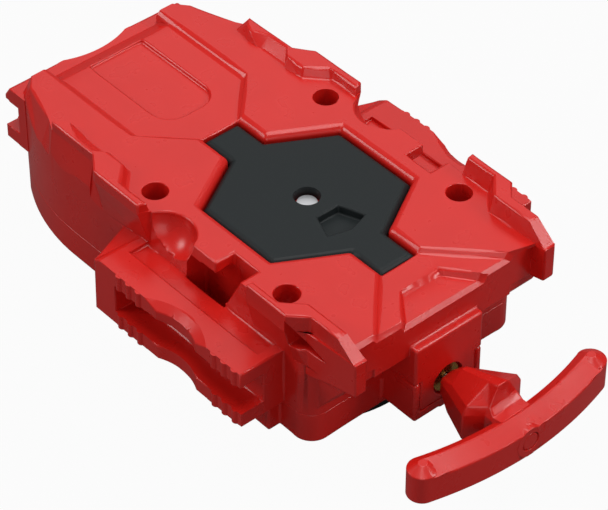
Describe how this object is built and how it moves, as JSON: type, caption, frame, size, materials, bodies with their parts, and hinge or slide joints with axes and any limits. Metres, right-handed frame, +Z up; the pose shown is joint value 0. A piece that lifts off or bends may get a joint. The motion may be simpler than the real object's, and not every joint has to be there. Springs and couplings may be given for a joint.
{
  "type": "spinning top launcher",
  "caption": "Hand-held launcher for spinning tops: a pulled string turns a sprung reel and gears that spin a claw hub under a flat body with accessory rails.",
  "frame": {"origin": "seat of the top socket on the spin axis of the hub", "axes": "+X along the pull of the string towards the handle, +Y to the left of the pull, +Z up through the top plate"},
  "size_m": [0.1257, 0.072, 0.0386],
  "materials": {
    "red_abs": "glossy injection-moulded ABS",
    "charcoal_abs": "fine-textured moulded ABS",
    "zinc_steel": "bright zinc plating",
    "ground_steel": "ground bright steel",
    "sintered_bronze": "sintered bronze",
    "brass": "rolled brass",
    "acetal": "natural moulded acetal",
    "spring_steel": "blued spring steel",
    "cord": "braided nylon cord"
  },
  "bodies": {
    "housing": {"upper_cover": "red_abs", "lower_housing": "red_abs", "top_plate": "charcoal_abs", "case_screws": "zinc_steel", "guard_ring": "charcoal_abs", "guard_screws": "zinc_steel", "hub_bush": "sintered_bronze", "idler_pin": "ground_steel", "reel_axle": "ground_steel", "string_eyelet": "brass", "string_lead": "cord"},
    "hub": {"launch_hub": "charcoal_abs", "hub_shaft": "ground_steel", "hub_pinion": "acetal", "shaft_clip": "zinc_steel", "thrust_washer": "zinc_steel"},
    "idler": {"idler_gear": "acetal"},
    "reel": {"string_reel": "acetal", "reel_gear": "acetal", "rewind_spring": "spring_steel", "string_winding": "cord"},
    "handle": {"pull_handle": "red_abs", "string_knot": "cord", "handle_plug": "red_abs"}
  },
  "joints": [
    {"name": "handle_pull", "type": "slide", "parent": "housing", "child": "handle", "axis": [1, 0, 0], "range_m": [0, 0.4502], "deforming": ["string_lead"]},
    {"name": "reel_turn", "type": "hinge", "parent": "housing", "child": "reel", "pos_m": [-0.033, 0, 0.0113], "axis": [0, 0, -1], "range_deg": [0, 1886.5], "stiffness_Nm_per_rad": 0.00187, "springref_deg": -419.41},
    {"name": "idler_turn", "type": "hinge", "parent": "housing", "child": "idler", "pos_m": [-0.00996, -0.0067, 0.018], "axis": [0, 0, 1], "range_deg": [0, 5662]},
    {"name": "hub_turn", "type": "hinge", "parent": "housing", "child": "hub", "pos_m": [0, 0, 0], "axis": [0, 0, -1], "range_deg": [0, 5662]}
  ],
  "couplings": [
    {"joint": "handle_pull", "follows": "reel_turn", "m_per_rad": 0.013667},
    {"joint": "idler_turn", "follows": "reel_turn", "ratio": 3},
    {"joint": "hub_turn", "follows": "reel_turn", "ratio": 3}
  ]
}
